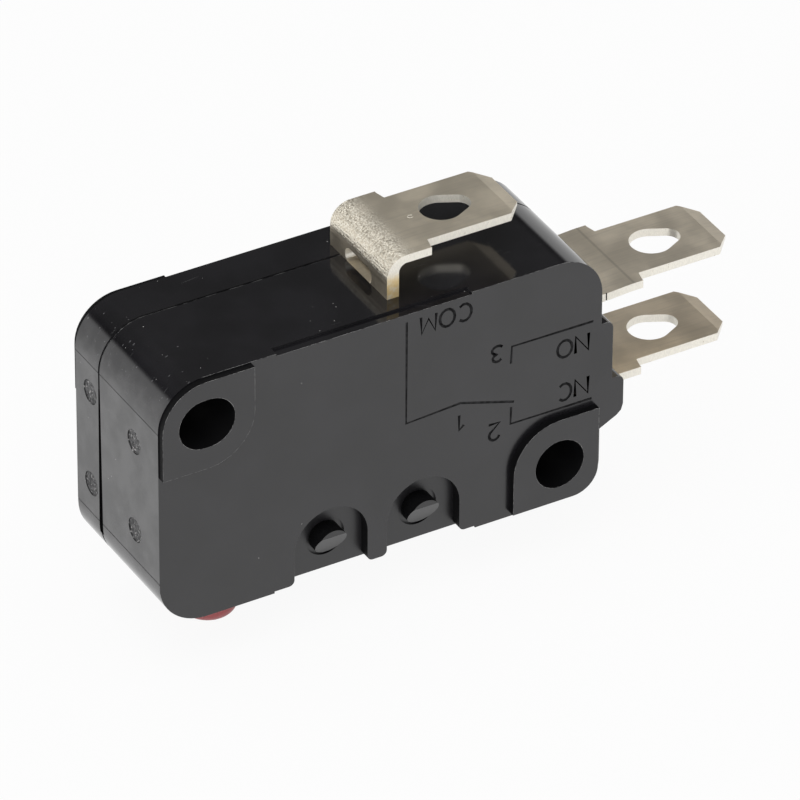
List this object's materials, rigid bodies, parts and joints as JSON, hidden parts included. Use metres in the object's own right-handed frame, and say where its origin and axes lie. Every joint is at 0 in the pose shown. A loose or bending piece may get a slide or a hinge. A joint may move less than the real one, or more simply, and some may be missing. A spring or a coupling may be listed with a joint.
{
  "type": "pin plunger micro switch",
  "caption": "Snap-action switch in a flat moulded case with a short pin plunger, round and slotted mounting holes, lever seats and flat push-on tabs.",
  "frame": {"origin": "centre of the round mounting hole, half way through the thickness of the body", "axes": "+X along the body towards the two end tabs, +Y through the thickness away from the marked face, +Z from the plunger face to the common tab"},
  "size_m": [0.0378, 0.0104, 0.0218],
  "materials": {
    "case_plastic": "moulded thermoset, satin with fine spark-eroded grain",
    "cover_plastic": "moulded thermoset, satin with fine spark-eroded grain",
    "plunger_plastic": "moulded, satin red",
    "terminal_metal": "plated brass strip, dull warm grey, bright sheared edges",
    "contact_metal": "silver alloy, brushed",
    "spring_metal": "copper alloy spring strip, rolled"
  },
  "bodies": {
    "housing": {"case": "case_plastic", "cover": "cover_plastic", "com_terminal": "terminal_metal", "no_terminal": "terminal_metal", "nc_terminal": "terminal_metal", "no_contact": "contact_metal", "nc_contact": "contact_metal", "bow_spring": "spring_metal"},
    "plunger": {"plunger": "plunger_plastic"},
    "contact_arm": {"contact_blade": "spring_metal", "moving_contact": "contact_metal"}
  },
  "joints": [
    {"name": "plunger_slide", "type": "slide", "parent": "housing", "child": "plunger", "axis": [0, 0, 1], "range_m": [0, 0.002], "stiffness_N_per_m": 900, "springref_m": -0.0008, "deforming": ["bow_spring"]},
    {"name": "contact_swing", "type": "hinge", "parent": "housing", "child": "contact_arm", "pos_m": [-0.02249, 0, 0.00532], "axis": [0, -1, 0], "range_deg": [0, 2.6]}
  ],
  "couplings": [
    {"joint": "contact_swing", "follows": "plunger_slide", "rad_per_m": 20.9}
  ]
}
